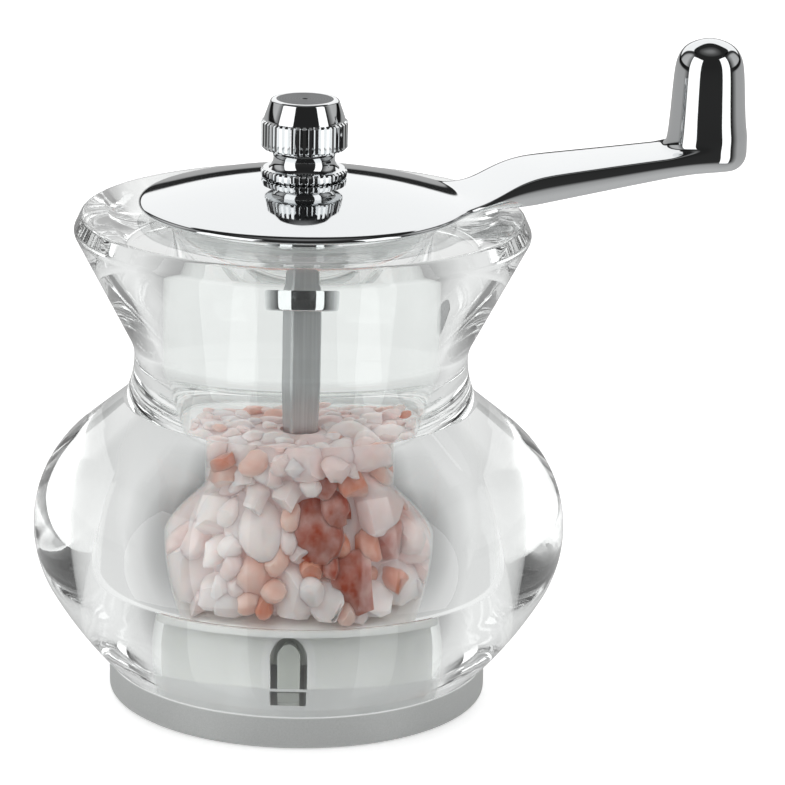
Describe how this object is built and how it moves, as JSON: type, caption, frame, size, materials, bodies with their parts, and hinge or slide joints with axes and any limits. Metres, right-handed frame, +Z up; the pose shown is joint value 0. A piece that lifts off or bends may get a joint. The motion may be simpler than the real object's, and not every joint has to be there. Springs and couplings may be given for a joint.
{
  "type": "pepper mill",
  "caption": "Squat clear mill for pepper or coarse salt: a domed crank lid with an upright knob turns a square shaft and a conical burr, and a knurled top nut sets the grind.",
  "frame": {"origin": "on the mill's axis at the underside of the base ring, where it stands on the table", "axes": "+Z up along the mill's axis; +X along the crank's arm, from the axis to the knob"},
  "size_m": [0.1292, 0.0968, 0.1204],
  "materials": {
    "clear_acrylic": "clear, polished",
    "chrome": "mirror",
    "satin_grey": "satin",
    "white_nylon": "translucent",
    "burr_ceramic": "sintered",
    "steel": "brushed",
    "rock_salt": "crystalline"
  },
  "bodies": {
    "body": {"clear_pot": "clear_acrylic", "base_ring": "satin_grey", "grinder_housing": "white_nylon", "ring_burr": "burr_ceramic", "burr_snap_ring": "steel", "bridge_bar": "steel", "bridge_bush": "white_nylon", "bridge_screws": "steel", "upper_spring_washer": "steel", "salt_fill": "rock_salt"},
    "crank": {"crank_lid": "chrome", "lid_glide_ring": "white_nylon"},
    "nut": {"adjusting_nut": "chrome"},
    "shaft": {"drive_shaft": "steel", "rotor_carrier": "white_nylon", "rotor_burr": "burr_ceramic", "lower_spring_washer": "steel", "rotor_spring": "steel", "rotor_washer": "steel", "rotor_screw": "steel"}
  },
  "joints": [
    {"name": "crank_turn", "type": "hinge", "parent": "body", "child": "crank", "pos_m": [0, 0, 0.0908], "axis": [0, 0, 1], "continuous": true},
    {"name": "shaft_drop", "type": "slide", "parent": "crank", "child": "shaft", "axis": [0, 0, -1], "range_m": [0, 0.0012], "deforming": ["rotor_spring"]},
    {"name": "nut_turn", "type": "hinge", "parent": "crank", "child": "nut", "pos_m": [0, 0, 0.0961], "axis": [0, 0, 1], "range_deg": [0, 541]}
  ],
  "couplings": [
    {"joint": "nut_turn", "follows": "shaft_drop", "rad_per_m": 7854}
  ]
}
